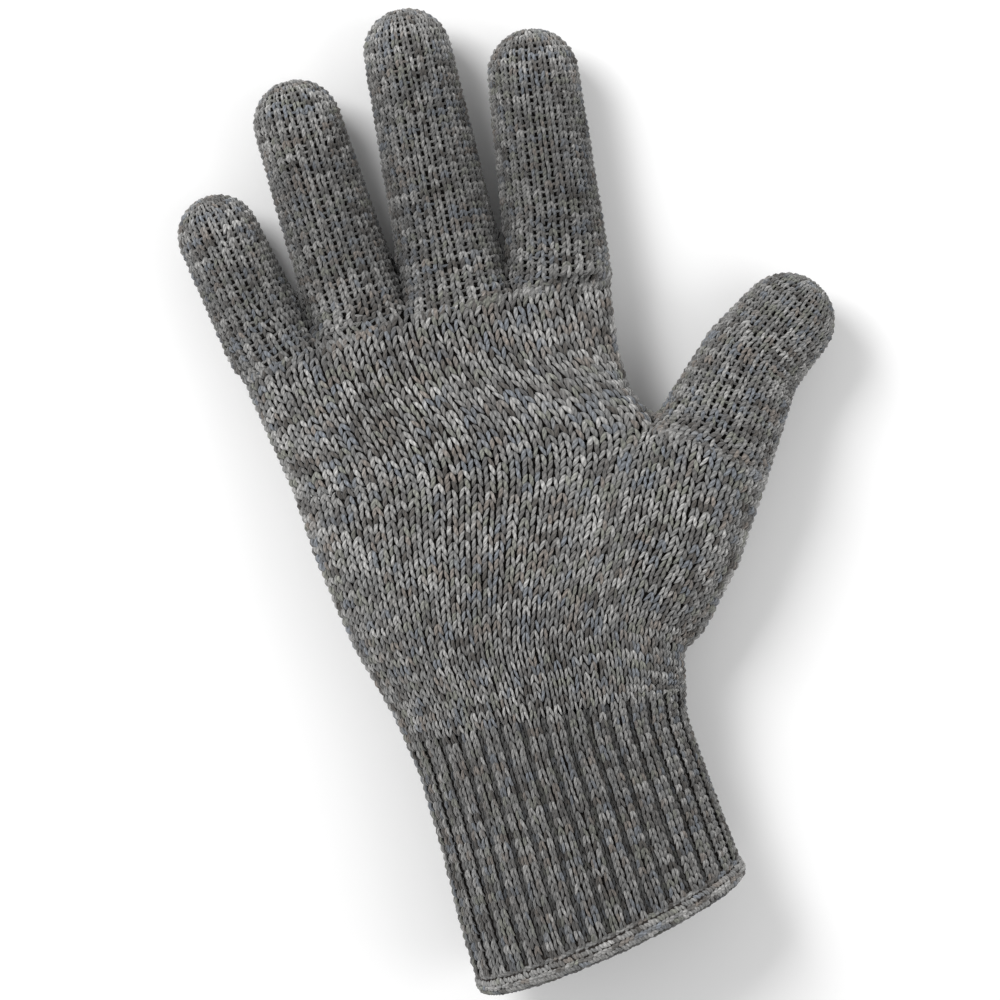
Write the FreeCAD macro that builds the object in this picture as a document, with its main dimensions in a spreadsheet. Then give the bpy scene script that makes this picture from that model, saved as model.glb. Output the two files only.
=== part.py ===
"""A knitted five-finger glove for the left hand, lying on its palm, thumb towards +X.

X runs across the hand, Y from the cuff to the fingertips and Z up through the back of the hand.
The origin is on the table, under the middle of the palm. The glove is one sleeve of knitting from hem to
finger roots, with five closed tubes on it. The sleeve and the tubes are hollow, one knit thick, and flat
underneath where they lie. Each stretch that stays straight is one sub-part, and each band that folds at a
joint is another, cut by planes that meet on the joint's axis, so that the straight stretches swing clear.
"""

import FreeCAD, Part
import math
import os

import Sketcher

FINGERS = ("little", "ring", "middle", "index")

doc = FreeCAD.newDocument("knitted_glove")
dims = doc.addObject("Spreadsheet::Sheet", "dims")

# ---------------------------------------------------------------- driving dimensions, in mm and degrees

GENERAL = {
    "knit_wall": 1.9,  # thickness of the knitted fabric
    "sleeve_dip": 1.2,  # how far the sleeve's round underside is flattened where it lies
    "floor_gap": 0.3,  # the digits clear the table by this much
    "finger_gap": 1.4,  # between the roots of two neighbouring fingers
    "fold_half": 2.2,  # half the length of a folding band on the back of the hand
    "seam_gap": 0.3,  # between a folding band and the straight stretch beside it
    "hinge_drop": 3.5,  # a joint's axis lies this far under the middle of a digit
    "block_reach": 34.0,  # how far the cutting blocks reach above and below a joint's axis
    "block_width": 240.0,
    "middle_across": 0.3,
    "finger_line": 63.0,  # base joint of the middle finger
    "web_back": 5.2,  # the webs between the fingers lie this far behind the finger line
    "web_slope": 4.8,  # the webs step down towards the little finger
    "web_line_across": 0.0,
    "thumb_web": 12.6,  # the crotch between hand and thumb
    "wrist_height": 19.5,
    "knuckle_along": 40.0,
    "knuckle_across": -10.0,
    "knuckle_height": 13.5,
    "knuckle_slope": 6.0,
    "hem_across": 6.0,
    "hem_line": -114.6,  # the knitting ends and the overlocked edge begins
    "hem_height": 20.0,
    "hem_slope": 12.5,
    "hem_lean": 10.0,
    "edge_long": 4.6,  # the overlocked edge, along the cuff
    "edge_proud": 0.8,  # how far it stands out from the knitting
    "edge_inside": 0.6,  # how far it stands in
    "elastic_thick": 0.8,
    "elastic_gap": 0.05,
    "elastic_first": 8.5,  # the first elastic thread from the hem
    "elastic_last": 16.1,  # the last one from the wrist's fold
}

# How far each joint folds: towards the palm, and back.
FOLDS = {
    "wrist_fold": 35.0,
    "wrist_back": 35.0,
    "knuckle_fold": 45.0,
    "knuckle_back": 10.0,
    "base_fold": 35.0,
    "base_back": 10.0,
    "mid_fold": 75.0,
    "mid_back": 0.0,
    "tip_fold": 50.0,
    "tip_back": 0.0,
    "little_mid_fold": 65.0,
    "little_mid_back": 0.0,
    "little_tip_fold": 40.0,
    "little_tip_back": 0.0,
    "thumb_base_fold": 40.0,
    "thumb_base_back": 10.0,
    "thumb_tip_fold": 55.0,
    "thumb_tip_back": 5.0,
}

# root radius, tip radius, base joint to end, lean towards the thumb, base joint behind the finger line,
# base to middle joint, middle to tip joint
DIGIT_SIZES = ("root_radius", "tip_radius", "length", "splay", "behind", "first", "second")
DIGITS = {
    "little": (11.2, 10.5, 38.2, -13.2, 5.3, 13.2, 13.0),
    "ring": (12.6, 11.3, 60.0, -5.6, 2.0, 20.5, 20.5),
    "middle": (13.5, 11.3, 70.2, 0.4, 0.0, 23.5, 24.0),
    "index": (13.2, 11.7, 59.6, 4.6, 1.5, 20.0, 20.0),
}

# The sleeve from hem to finger roots: place along, left edge, right edge, thickness.
STATION_SIZES = ("along", "left", "right", "thick")
SLEEVE = {
    "hem_end": (-136.0, -30.0, 47.0, 42.5),
    "hem": (-119.0, -32.4, 43.6, 42.5),
    "cuff_low": (-105.0, -33.4, 41.8, 42.0),
    "cuff_mid": (-88.0, -33.9, 39.2, 41.5),
    "wrist": (-66.0, -35.7, 36.2, 40.5),
    "heel": (-50.0, -39.1, 39.0, 39.5),
    "palm_low": (-30.0, -45.7, 42.6, 39.0),
    "palm": (-5.0, -50.8, 44.8, 37.6),
    "thumb_level": (12.0, -52.4, 44.4, 35.5),
    "above_web": (21.0, -54.4, 39.8, 34.0),
    "palm_high": (33.0, -57.2, 38.6, 32.0),
}
TOP_STATION = {"top_along": 68.0, "top_thick": 27.0, "top_spare": 0.4}

THUMB = {
    "thumb_across": 57.6,  # base joint
    "thumb_along": 2.0,
    "thumb_height": 16.9,
    "thumb_splay": 37.0,
    "thumb_droop": 6.0,
    "thumb_root_radius": 16.5,
    "thumb_first": 25.0,  # base joint to tip joint
    "thumb_last_root_radius": 13.3,
    "thumb_last_tip_radius": 12.4,
    "thumb_last_length": 27.5,
    "thumb_last_turn": 16.0,  # the last joint leans further out
    "thumb_ball_radius": 19.4,  # the ball of the thumb, inside the hand
    "thumb_ball_back": 25.0,
    "thumb_heel_radius": 18.9,
    "thumb_heel_back": 42.0,
    "thumb_ball_sink": 7.0,  # the ball sinks towards the palm
}


def fill_sheet():
    """Each driving dimension in a row of its own, with its name as the cell's alias. A name can't come twice."""
    rows = [*GENERAL.items(), *FOLDS.items()]
    for digit, sizes in DIGITS.items():
        rows += [(f"{digit}_{name}", value) for name, value in zip(DIGIT_SIZES, sizes)]
    for station, sizes in SLEEVE.items():
        rows += [(f"{station}_{name}", value) for name, value in zip(STATION_SIZES, sizes)]
    rows += [*TOP_STATION.items(), *THUMB.items()]
    assert len({name for name, _ in rows}) == len(rows), "a dimension is named twice"
    for row, (name, value) in enumerate(rows, 1):
        dims.set(f"A{row}", name)
        dims.set(f"B{row}", str(value))
        dims.setAlias(f"B{row}", name)
    doc.recompute()


fill_sheet()


def value(expression):
    """What an expression on the sheet gives now, as a plain number."""
    found = dims.evalExpression(str(expression))
    return float(getattr(found, "Value", found))


def cell(name):
    return f"dims.{name}"


# ---------------------------------------------------------------- frames, as expressions on the sheet

NEIGHBOUR = {"index": ("middle", 1), "ring": ("middle", -1), "little": ("ring", -1)}


def root_across(finger):
    """Across the hand, each finger's root stands beside its neighbour's, with the finger gap between."""
    if finger == "middle":
        return cell("middle_across")
    beside, side = NEIGHBOUR[finger]
    step = f"dims.{beside}_root_radius + dims.finger_gap + dims.{finger}_root_radius"
    return f"({root_across(beside)} {'+' if side > 0 else '-'} ({step}))"


def taper(finger):
    """A finger's radius lost per mm of its length, up to the round end."""
    lost = f"(dims.{finger}_root_radius - dims.{finger}_tip_radius)"
    return f"({lost} / (dims.{finger}_length - dims.{finger}_tip_radius))"


def radius_at(finger, along):
    return f"(dims.{finger}_root_radius - ({along}) * {taper(finger)})"


def placement(across, along, height, turn="0", tilt="0"):
    return f"placement(vector({across}; {along}; {height}); rotation({turn}; 0; {tilt}))"


FRAME = {
    finger: placement(
        root_across(finger),
        f"dims.finger_line - dims.{finger}_behind",
        f"dims.{finger}_root_radius + dims.floor_gap",
        f"0 - dims.{finger}_splay",
        f"-1 * atan({taper(finger)})",
    )
    for finger in FINGERS
}
FRAME["thumb"] = placement(
    cell("thumb_across"), cell("thumb_along"), cell("thumb_height"), "0 - dims.thumb_splay", "0 - dims.thumb_droop"
)
FRAME["thumb_root"] = placement(
    cell("thumb_across"), cell("thumb_along"), cell("thumb_height"), "0 - dims.thumb_splay", cell("thumb_ball_sink")
)
FRAME["thumb_last"] = FRAME["thumb"] + " * " + placement(
    "0", cell("thumb_first"), "0", "0 - dims.thumb_last_turn"
)
FRAME["thumb_mitre"] = FRAME["thumb"] + " * " + placement(
    "0", cell("thumb_first"), "0", "0 - dims.thumb_last_turn / 2"
)
FRAME["wrist"] = placement("0", cell("wrist_along"), cell("wrist_height"))
FRAME["knuckles"] = placement(
    cell("knuckle_across"), cell("knuckle_along"), cell("knuckle_height"), cell("knuckle_slope")
)
FRAME["hem"] = placement(
    cell("hem_across"), cell("hem_line"), cell("hem_height"), cell("hem_slope"), cell("hem_lean")
)
FRAME["webs"] = placement(
    cell("web_line_across"), "dims.finger_line - dims.web_back", "0", cell("web_slope")
)
ROOT_FRAME = placement("0", "0", "0")
# turns a sketch so that its X runs along the frame's Y and its Y up the frame's Z
SIDE_VIEW = placement("0", "0", "0", "90", "90")
# turns a cone or a circle so that its own Z runs along the frame's Y
ALONG_Y = placement("0", "0", "0", "0", "-90")


# ---------------------------------------------------------------- document helpers


def add(kind, name, frame=None, **bound):
    """An object of the document with its placement and sizes bound to the sheet."""
    made = doc.addObject(kind, name)
    if frame:
        made.setExpression("Placement", frame)
    for size, expression in bound.items():
        made.setExpression(size, str(expression))
    return made


def fused(name, shapes):
    made = doc.addObject("Part::MultiFuse", name)
    made.Shapes = shapes
    made.Refine = False
    return made


def pair(kind, name, base, tool):
    """A boolean of two objects. Its faces aren't merged afterwards, as the rounded ones don't bear it."""
    made = doc.addObject(kind, name)
    made.Base, made.Tool = base, tool
    made.Refine = False
    return made


def cut(name, base, tool):
    return pair("Part::Cut", name, base, tool)


def common(name, base, tool):
    return pair("Part::Common", name, base, tool)


def pin(sketch, line, end, across, up):
    """Binds one end of a sketch line to a place given by two expressions."""
    for kind, expression in (("DistanceX", across), ("DistanceY", up)):
        number = sketch.addConstraint(Sketcher.Constraint(kind, -1, 1, line, end, value(expression)))
        sketch.setExpression(f"Constraints[{number}]", str(expression))


def polygon(sketch, corners):
    """A closed outline of straight lines through corners, each a pair of expressions."""
    places = [FreeCAD.Vector(value(x), value(y), 0) for x, y in corners]
    count = len(places)
    for i in range(count):
        sketch.addGeometry(Part.LineSegment(places[i], places[(i + 1) % count]))
    for i in range(count):
        sketch.addConstraint(Sketcher.Constraint("Coincident", i, 2, (i + 1) % count, 1))
        pin(sketch, i, 1, *corners[i])


REACH = "dims.block_reach"


def fold_edge(at, side, half, fold, back, drop):
    """Upper, middle and lower corner of a block's end at a joint: two planes that meet at the joint's axis.
    side is +1 where the end lies beyond the joint and -1 where it lies before it."""
    sign = "+" if side > 0 else "-"
    upper = f"({at}) {sign} (({half}) + ({REACH} + {drop}) * tan({back} / 2))"
    middle = f"({at}) {sign} ({half})"
    lower = f"({at}) {sign} (({half}) + ({REACH} - {drop}) * tan({fold} / 2))"
    return [(upper, REACH), (middle, f"0 - {drop}"), (lower, f"0 - {REACH}")]


def plain_edge(at, drop):
    return [(at, REACH), (at, f"0 - {drop}"), (at, f"0 - {REACH}")]


def block(name, frame, near, far, width):
    """A prism seen from the side between two ends, near and far, and width wide across the frame."""
    sketch = doc.addObject("Sketcher::SketchObject", name + "_outline")
    polygon(sketch, near + far[::-1])
    sketch.setExpression("Placement", f"{frame} * {SIDE_VIEW}")
    made = doc.addObject("Part::Extrusion", name)
    made.Base = sketch
    made.DirMode = "Normal"
    made.Solid = True
    made.Symmetric = True
    made.setExpression("LengthFwd", width)
    return made


def half_space(name, frame, shift="0"):
    """A large box on the frame's +Y side, starting shift beyond its origin."""
    size = "dims.block_width"
    corner = placement(f"0 - {size} / 2", shift, f"0 - {size} / 2")
    return add("Part::Box", name, f"{frame} * {corner}", Length=size, Width=size, Height=size)


def under(name, height):
    """A large box below a height, which flattens what lies on the table."""
    size = "dims.block_width"
    corner = placement(f"0 - {size}", f"0 - {size}", f"{height} - {size}")
    return add("Part::Box", name, corner, Length=f"2 * {size}", Width=f"2 * {size}", Height=size)


# ---------------------------------------------------------------- the sleeve


def station(name, grow, along, left, right, thick):
    """One oval section of the sleeve, grown outwards by grow."""
    frame = placement(f"({left} + {right}) / 2", along, f"{thick} / 2 - dims.sleeve_dip", "0", "90")
    return add(
        "Part::Ellipse",
        name,
        frame,
        MajorRadius=f"({right} - {left}) / 2 + ({grow})",
        MinorRadius=f"{thick} / 2 + ({grow})",
    )


def sleeve(name, grow="0", stations=tuple(SLEEVE), top=True):
    """The sleeve's solid, lofted through its oval sections."""
    sections = [
        station(f"{name}_{s}", grow, *(cell(f"{s}_{size}") for size in STATION_SIZES)) for s in stations
    ]
    if top:
        left = f"({root_across('little')} - dims.little_root_radius - dims.top_spare)"
        right = f"({root_across('index')} + dims.index_root_radius + dims.top_spare)"
        sections.append(
            station(f"{name}_top", grow, cell("top_along"), left, right, cell("top_thick"))
        )
    made = doc.addObject("Part::Loft", name)
    made.Sections = sections
    made.Solid = True
    made.Ruled = True
    return made


def digit_root(finger, grow, past):
    """The part of a finger's cone that stands inside the hand, from behind the base joint to past it."""
    back = "(dims.finger_line - dims.knuckle_along) * 0.36"
    return add(
        "Part::Cone",
        f"{finger}_root_{'core' if grow.startswith('0 -') else 'skin'}",
        f"{FRAME[finger]} * {placement('0', f'0 - {back}', '0')} * {ALONG_Y}",
        Radius1=f"{radius_at(finger, f'0 - {back}')} + ({grow})",
        Radius2=f"{radius_at(finger, past)} + ({grow})",
        Height=f"{back} + {past}",
    )


def thumb_root(name, grow, past):
    """The ball of the thumb: two cones along the thumb's axis and a round end inside the hand."""
    stops = (
        ("base", past, "dims.thumb_root_radius"),
        ("ball", "0 - dims.thumb_ball_back", "dims.thumb_ball_radius"),
        ("heel", "0 - dims.thumb_heel_back", "dims.thumb_heel_radius"),
    )
    solids = []
    for (_, front, front_radius), (which, back, back_radius) in zip(stops, stops[1:]):
        solids.append(
            add(
                "Part::Cone",
                f"{name}_{which}",
                f"{FRAME['thumb_root']} * {placement('0', back, '0')} * {ALONG_Y}",
                Radius1=f"{back_radius} + ({grow})",
                Radius2=f"{front_radius} + ({grow})",
                Height=f"({front}) - ({back})",
            )
        )
    _, back, radius = stops[-1]
    end = f"{FRAME['thumb_root']} * {placement('0', back, '0')}"
    solids.append(add("Part::Sphere", f"{name}_end", end, Radius=f"{radius} + ({grow})"))
    return fused(name, solids)


INSIDE = "0 - dims.knit_wall"

table = under("table", "0")
floor = under("hollow_floor", "dims.knit_wall")
outer_parts = [
    cut("sleeve_flat", cut("sleeve_to_webs", sleeve("sleeve_skin"), half_space("beyond_webs", FRAME["webs"])), table),
    cut("thumb_root_flat", thumb_root("thumb_root_skin", "0", "0"), table),
]
outer_parts += [digit_root(finger, "0", "0.01") for finger in FINGERS]
inner_parts = [
    cut(
        "hollow_flat",
        cut(
            "hollow_to_webs",
            sleeve("sleeve_core", INSIDE),
            half_space("beyond_hollow", FRAME["webs"], INSIDE),
        ),
        floor,
    ),
    cut("thumb_hollow_flat", thumb_root("thumb_root_core", INSIDE, "dims.knit_wall"), floor),
]
inner_parts += [digit_root(finger, INSIDE, "dims.knit_wall") for finger in FINGERS]

hand_skin = fused("hand_skin", outer_parts)
hand_core = fused("hand_core", inner_parts)
hand_shell = cut("hand_shell", hand_skin, hand_core)

# ---------------------------------------------------------------- lengths of the sleeve

HALF = cell("fold_half")
BAND_HALF = "dims.fold_half - dims.seam_gap"
NO_DROP = "0.001"  # the wrist's and knuckles' frames lie on their axes
WIDE = cell("block_width")


def joint_edges(at, name, drop):
    """The four ends that meet at a joint: the stretch before, the band's two ends, the stretch after."""
    fold, back = cell(f"{name}_fold"), cell(f"{name}_back")
    return {
        "before": fold_edge(at, -1, HALF, fold, back, drop),
        "band_start": fold_edge(at, -1, BAND_HALF, fold, back, drop),
        "band_end": fold_edge(at, 1, BAND_HALF, fold, back, drop),
        "after": fold_edge(at, 1, HALF, fold, back, drop),
    }


wrist = joint_edges("0", "wrist", NO_DROP)
knuckle = joint_edges("0", "knuckle", NO_DROP)
FAR = cell("block_width")
web_level = placement("0", cell("thumb_web"), cell("wrist_height"))

cuff_block = block("cuff_block", FRAME["wrist"], plain_edge(f"0 - {FAR}", NO_DROP), wrist["before"], WIDE)
beyond_hem = half_space("beyond_hem", FRAME["hem"])
rib_cuff = common("rib_cuff", common("cuff_to_wrist", hand_shell, cuff_block), beyond_hem)

wrist_block = block("wrist_block", FRAME["wrist"], wrist["band_start"], wrist["band_end"], WIDE)
wrist_band = common("wrist_band", hand_shell, wrist_block)

palm_block = block("palm_block", FRAME["wrist"], wrist["after"], plain_edge(FAR, NO_DROP), WIDE)
above_web = half_space("above_web_level", web_level)
thumb_joint = joint_edges("0", "thumb_base", cell("hinge_drop"))
THUMB_WIDTH = "2 * (dims.thumb_root_radius + dims.finger_gap)"
thumb_clear = block(
    "thumb_clear", FRAME["thumb"], thumb_joint["before"], plain_edge(FAR, cell("hinge_drop")), THUMB_WIDTH
)
five_finger_body = cut(
    "five_finger_body",
    cut("palm_to_web", common("palm_from_wrist", hand_shell, palm_block), above_web),
    thumb_clear,
)

before_knuckles = block(
    "before_knuckles", FRAME["knuckles"], plain_edge(f"0 - {FAR}", NO_DROP), knuckle["before"], WIDE
)
four_finger_body = common(
    "four_finger_body",
    common("hand_above_web", hand_shell, above_web),
    before_knuckles,
)

knuckle_block = block("knuckle_block", FRAME["knuckles"], knuckle["band_start"], knuckle["band_end"], WIDE)
knuckle_band = common("knuckle_band", hand_shell, knuckle_block)

after_knuckles = block("after_knuckles", FRAME["knuckles"], knuckle["after"], plain_edge(FAR, NO_DROP), WIDE)
finger_roots = common("hand_past_knuckles", hand_shell, after_knuckles)
for finger in FINGERS:
    base = joint_edges("0", "base", cell("hinge_drop"))
    clear = block(
        f"{finger}_clear",
        FRAME[finger],
        base["before"],
        plain_edge(FAR, cell("hinge_drop")),
        f"2 * (dims.{finger}_root_radius + dims.finger_gap / 2)",
    )
    finger_roots = cut(f"roots_clear_of_{finger}", finger_roots, clear)

# ---------------------------------------------------------------- the cuff's edge and its elastic threads

CUFF_STATIONS = ("hem_end", "hem", "cuff_low", "cuff_mid", "wrist")

edge_skin = cut(
    "edge_skin", sleeve("edge_round", "dims.edge_proud", CUFF_STATIONS, False), under("edge_table", "0")
)
EDGE_WALL = "dims.knit_wall + dims.edge_inside"
edge_core = cut(
    "edge_core",
    sleeve("edge_hollow", f"0 - ({EDGE_WALL})", CUFF_STATIONS, False),
    under("edge_floor", EDGE_WALL),
)
edge_slab = cut(
    "edge_slab",
    half_space("edge_from", FRAME["hem"], "0 - dims.edge_long"),
    half_space("edge_to", FRAME["hem"]),
)
cuff_edge = common("cuff_edge", cut("edge_shell", edge_skin, edge_core), edge_slab)

ELASTIC_OUT = "dims.knit_wall + dims.elastic_gap"
ELASTIC_IN = f"{ELASTIC_OUT} + dims.elastic_thick"
elastic_skin = cut(
    "elastic_skin",
    sleeve("elastic_round", f"0 - ({ELASTIC_OUT})", CUFF_STATIONS, False),
    under("elastic_table", ELASTIC_OUT),
)
elastic_core = cut(
    "elastic_core",
    sleeve("elastic_hollow", f"0 - ({ELASTIC_IN})", CUFF_STATIONS, False),
    under("elastic_floor", ELASTIC_IN),
)
elastic_shell = cut("elastic_shell", elastic_skin, elastic_core)
ELASTIC_THREADS = 4
ELASTIC_RUN = "(dims.wrist_along - dims.hem_line - dims.elastic_first - dims.elastic_last)"
elastic_rings = []
for i in range(ELASTIC_THREADS):
    start = f"dims.elastic_first + {ELASTIC_RUN} * {i} / {ELASTIC_THREADS - 1}"
    slab = cut(
        f"elastic_slab_{i + 1}",
        half_space(f"elastic_from_{i + 1}", FRAME["hem"], start),
        half_space(f"elastic_to_{i + 1}", FRAME["hem"], f"{start} + dims.elastic_thick"),
    )
    elastic_rings.append(common(f"elastic_ring_{i + 1}", elastic_shell, slab))
elastic_threads = doc.addObject("Part::Compound", "elastic_threads")
elastic_threads.Links = elastic_rings


# ---------------------------------------------------------------- the four fingers


def tube(finger):
    """A knitted tube closed at the tip: half its section, turned about its axis."""
    body = doc.addObject("PartDesign::Body", f"{finger}_tube")
    sketch = body.newObject("Sketcher::SketchObject", f"{finger}_section")
    plane = next(f for f in body.Origin.OriginFeatures if f.Role == "XY_Plane")
    sketch.AttachmentSupport = (plane, [""])
    sketch.MapMode = "FlatFace"
    wall = cell("knit_wall")
    tip_radius = f"dims.{finger}_tip_radius"
    end = f"dims.{finger}_length"
    dome = f"({end} - {tip_radius})"
    start = "(0 - dims.block_reach / 2)"
    start_radius = radius_at(finger, start)
    corners = [(start_radius, start), (tip_radius, dome), ("0", end)]
    inner = [("0", f"{end} - {wall}"), (f"{tip_radius} - {wall}", dome), (f"{start_radius} - {wall}", start)]
    places = [FreeCAD.Vector(value(x), value(y), 0) for x, y in corners + inner]
    centre = FreeCAD.Vector(0, value(dome), 0)
    up = FreeCAD.Vector(0, 0, 1)

    def quarter(size):
        return Part.ArcOfCircle(Part.Circle(centre, up, value(size)), 0, math.pi / 2)

    outer_side = sketch.addGeometry(Part.LineSegment(places[0], places[1]))
    outer_dome = sketch.addGeometry(quarter(tip_radius))
    on_axis = sketch.addGeometry(Part.LineSegment(places[2], places[3]))
    inner_dome = sketch.addGeometry(quarter(f"{tip_radius} - {wall}"))
    inner_side = sketch.addGeometry(Part.LineSegment(places[4], places[5]))
    mouth = sketch.addGeometry(Part.LineSegment(places[5], places[0]))
    joined = (
        (outer_side, 2, outer_dome, 1),
        (outer_dome, 2, on_axis, 1),
        (on_axis, 2, inner_dome, 2),
        (inner_dome, 1, inner_side, 1),
        (inner_side, 2, mouth, 1),
        (mouth, 2, outer_side, 1),
    )
    for pair in joined:
        sketch.addConstraint(Sketcher.Constraint("Coincident", *pair))
    for line, point in ((outer_dome, 3), (inner_dome, 3), (on_axis, 1), (on_axis, 2)):
        sketch.addConstraint(Sketcher.Constraint("PointOnObject", line, point, -2))
    for arc in (outer_dome, inner_dome):
        number = sketch.addConstraint(Sketcher.Constraint("DistanceY", -1, 1, arc, 3, value(dome)))
        sketch.setExpression(f"Constraints[{number}]", dome)
    pin(sketch, outer_side, 1, *corners[0])
    pin(sketch, outer_side, 2, *corners[1])
    pin(sketch, inner_side, 1, *inner[1])
    pin(sketch, inner_side, 2, *inner[2])
    turned = body.newObject("PartDesign::Revolution", f"{finger}_turned")
    turned.Profile = sketch
    turned.ReferenceAxis = (sketch, ["V_Axis"])
    turned.Angle = 360
    body.Tip = turned
    body.setExpression("Placement", FRAME[finger])
    return body


def digit_lengths(digit, shell, joints, frame):
    """Cuts a digit's tube into its straight stretches and folding bands.
    joints is [(joint, place along, name of the stretch after it)]."""
    drop = cell("hinge_drop")
    width = cell("block_width")
    edges = [joint_edges(at, name, drop) for name, at, _ in joints]
    nodes = []
    for number, (_, _, stretch) in enumerate(joints):
        band = block(
            f"{digit}_band_block_{number + 1}",
            frame,
            edges[number]["band_start"],
            edges[number]["band_end"],
            width,
        )
        nodes.append(common(f"{digit}_band_{number + 1}", shell, band))
        last = number + 1 == len(joints)
        far = plain_edge(FAR, drop) if last else edges[number + 1]["before"]
        part = block(f"{digit}_{stretch}_block", frame, edges[number]["after"], far, width)
        nodes.append(common(f"{digit}_{stretch}", shell, part))
    return nodes


nodes = []
for finger in FINGERS:
    first = f"dims.{finger}_first"
    second = f"({first} + dims.{finger}_second)"
    short = "little_" if finger == "little" else ""
    joints = [("base", "0", "base"), (short + "mid", first, "middle"), (short + "tip", second, "tip")]
    nodes += digit_lengths(finger, tube(finger), joints, FRAME[finger])

# ---------------------------------------------------------------- the thumb


def thumb_first_solid(name, grow):
    """The thumb's first stretch as a solid cone that runs on past both of its joints."""
    lost = "((dims.thumb_root_radius - dims.thumb_last_root_radius) / dims.thumb_first)"
    back = "(dims.block_reach / 2)"
    return add(
        "Part::Cone",
        name,
        f"{FRAME['thumb']} * {placement('0', f'0 - {back}', '0')} * {ALONG_Y}",
        Radius1=f"dims.thumb_root_radius + {back} * {lost} + ({grow})",
        Radius2=f"dims.thumb_last_root_radius - {back} * {lost} + ({grow})",
        Height=f"dims.thumb_first + 2 * {back}",
    )


first_tube = cut("thumb_first_tube", thumb_first_solid("thumb_first_skin", "0"), thumb_first_solid("thumb_first_core", INSIDE))
mitre = half_space("beyond_thumb_mitre", FRAME["thumb_mitre"])
thumb_shell = fused(
    "thumb_shell",
    [
        cut("thumb_first_to_mitre", first_tube, mitre),
        common("thumb_last_from_mitre", tube("thumb_last"), mitre),
    ],
)
thumb_joints = [("thumb_base", "0", "base"), ("thumb_tip", cell("thumb_first"), "tip")]
nodes += digit_lengths("thumb", thumb_shell, thumb_joints, FRAME["thumb"])

# ---------------------------------------------------------------- names, checks and files

LABELS = {
    "rib_cuff": rib_cuff,
    "wrist_band": wrist_band,
    "five_finger_body": five_finger_body,
    "four_finger_body": four_finger_body,
    "knuckle_band": knuckle_band,
    "finger_root_band": finger_roots,
    "cuff_overlock_edge": cuff_edge,
    "cuff_elastic_threads": elastic_threads,
}
LABELS.update({node.Name: node for node in nodes})

doc.recompute()


def failed_objects():
    return [o.Name for o in doc.Objects if "Invalid" in o.State or "Error" in o.State]


assert not failed_objects(), f"failed: {failed_objects()}"

os.makedirs("parts", exist_ok=True)
for label, node in LABELS.items():
    node.Label = label
    shape = node.Shape
    assert not shape.isNull() and shape.isValid() and shape.Solids, f"{label} has no valid solid"
    shape.exportStep(f"parts/{label}.step")
    box = shape.BoundBox
    print(
        f"{label:22s} solids {len(shape.Solids)}  {shape.Volume:9.1f} mm3  "
        f"x {box.XMin:7.1f} {box.XMax:7.1f}  y {box.YMin:7.1f} {box.YMax:7.1f}  z {box.ZMin:6.2f} {box.ZMax:6.2f}"
    )
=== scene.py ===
"""Look of the knitted glove: real stitches of ragg wool laid over the glove's form.

The pieces follow in the order in which such a glove is made up: the form and the dark sheet of painted shade
under the stitches, the palm from the wrist to the crotch, the hand above it, the four fingers, the thumb, the ribbed
cuff, the overlocked hem.
Sizes are in metres, and the frame is the part's: X across to the thumb, Y to the fingertips, Z up.
"""

import math

import bmesh
import bpy
import numpy as np
from mathutils import Matrix, Vector
from mathutils.bvhtree import BVHTree


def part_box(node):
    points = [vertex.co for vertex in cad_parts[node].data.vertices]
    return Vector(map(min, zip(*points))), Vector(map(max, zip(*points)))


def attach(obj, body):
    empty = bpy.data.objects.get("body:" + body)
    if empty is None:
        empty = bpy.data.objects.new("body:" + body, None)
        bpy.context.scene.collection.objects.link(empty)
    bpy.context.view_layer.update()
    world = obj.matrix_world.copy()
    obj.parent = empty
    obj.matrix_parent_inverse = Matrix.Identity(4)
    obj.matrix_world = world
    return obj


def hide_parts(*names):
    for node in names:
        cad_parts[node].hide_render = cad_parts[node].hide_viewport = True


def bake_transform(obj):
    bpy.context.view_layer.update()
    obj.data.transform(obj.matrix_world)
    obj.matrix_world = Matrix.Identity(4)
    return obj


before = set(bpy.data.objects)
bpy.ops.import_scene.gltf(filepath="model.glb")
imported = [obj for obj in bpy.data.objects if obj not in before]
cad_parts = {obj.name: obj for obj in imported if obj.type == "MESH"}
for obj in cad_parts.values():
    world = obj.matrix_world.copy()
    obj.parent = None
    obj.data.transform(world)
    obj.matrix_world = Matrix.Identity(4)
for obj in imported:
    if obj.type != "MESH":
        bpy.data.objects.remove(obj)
MM = 0.001
SWELL, VOXEL = 0.3 * MM, 1.0 * MM
ROUNDS_BEFORE, ROUNDS_AFTER = 16, 6  # smoothing of the form before and after the fingers' roundness is run down it


def smooth(t):
    """A share that eases in and out between 0 and 1."""
    t = np.clip(t, 0, 1)
    return t * t * (3 - 2 * t)


# ======================================================================= the form that the stitches lie on
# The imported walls, swollen a little so that the seams between them close, are remeshed into one shell and smoothed,
# which rounds the webs between the fingers.


def chosen(*objects):
    bpy.ops.object.select_all(action="DESELECT")
    for o in objects:
        o.select_set(True)
    bpy.context.view_layer.objects.active = objects[0]


def applied(obj):
    """obj with its modifiers and its transform applied."""
    chosen(obj)
    bpy.ops.object.convert(target="MESH")
    bpy.ops.object.transform_apply(location=True, rotation=True, scale=True)
    return obj


HEM_SLOPE, HEM_LEAN = math.radians(12.5), math.radians(10)
hem_frame = (
    Matrix.Translation((6 * MM, -112.6 * MM, 20 * MM))
    @ Matrix.Rotation(HEM_SLOPE, 4, "Z")
    @ Matrix.Rotation(HEM_LEAN, 4, "X")
)

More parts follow.
